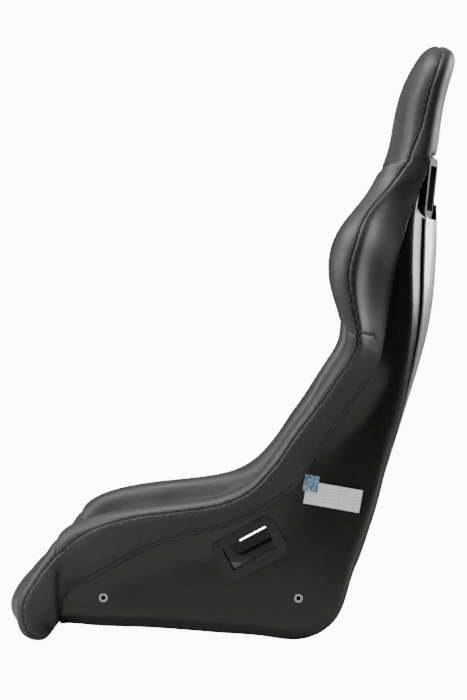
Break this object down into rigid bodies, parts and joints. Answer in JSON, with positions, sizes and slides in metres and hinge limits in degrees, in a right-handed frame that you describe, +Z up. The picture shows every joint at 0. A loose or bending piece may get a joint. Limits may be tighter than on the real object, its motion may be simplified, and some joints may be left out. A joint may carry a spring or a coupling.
{
  "type": "racing seat",
  "caption": "Fixed-back racing bucket seat: glass-fibre tub with padded leatherette bolsters, integral headrest, lap and shoulder belt slots and side mounting inserts.",
  "frame": {"origin": "centre of the bounding box at floor level", "axes": "front of the seat faces -Y, the occupant's left is +X, +Z is up"},
  "size_m": [0.5612, 0.6796, 0.8959],
  "materials": {
    "gelcoat_black": "black gel coat on glass fibre, gloss",
    "gelcoat_silver": "silver gel coat on glass fibre, satin gloss",
    "foam": "open-cell polyurethane foam",
    "leatherette": "fine-grain black leatherette, double stitched",
    "cushion_leatherette": "black leatherette over foam",
    "bezel_plastic": "moulded black ABS, fine texture",
    "plate_steel": "mild steel plate",
    "insert_steel": "zinc-plated steel",
    "hook_tape": "woven nylon hook tape",
    "label_paper": "white polyester label, blank",
    "foil": "pale blue metallised film, blank"
  },
  "bodies": {
    "root": {"back_cushion": "cushion_leatherette", "back_foam": "foam", "back_hook_strips": "hook_tape", "back_panel": "gelcoat_silver", "crotch_bezel_lower": "bezel_plastic", "crotch_bezel_upper": "bezel_plastic", "foil_patch": "foil", "headrest_cover_front": "leatherette", "headrest_cover_rear": "leatherette", "headrest_foam": "foam", "id_label": "label_paper", "lap_bezel_inner_left": "bezel_plastic", "lap_bezel_inner_right": "bezel_plastic", "lap_bezel_outer_left": "bezel_plastic", "lap_bezel_outer_right": "bezel_plastic", "lip_cover": "leatherette", "lip_foam": "foam", "mount_inserts_left": "insert_steel", "mount_inserts_right": "insert_steel", "mount_plate_left": "plate_steel", "mount_plate_right": "plate_steel", "nose_cover_left": "leatherette", "nose_cover_right": "leatherette", "pan_foam": "foam", "seat_cushion": "cushion_leatherette", "seat_hook_strips": "hook_tape", "seat_shell": "gelcoat_black", "shoulder_bezel_front_left": "bezel_plastic", "shoulder_bezel_front_right": "bezel_plastic", "shoulder_bezel_rear_left": "bezel_plastic", "shoulder_bezel_rear_right": "bezel_plastic", "thigh_cover_inner_left": "leatherette", "thigh_cover_inner_right": "leatherette", "thigh_cover_outer_left": "leatherette", "thigh_cover_outer_right": "leatherette", "thigh_foam_left": "foam", "thigh_foam_right": "foam", "wing_cover_inner_left": "leatherette", "wing_cover_inner_right": "leatherette", "wing_cover_outer_left": "leatherette", "wing_cover_outer_right": "leatherette", "wing_foam_left": "foam", "wing_foam_right": "foam", "yoke_cover": "leatherette", "yoke_foam": "foam"}
  },
  "joints": []
}
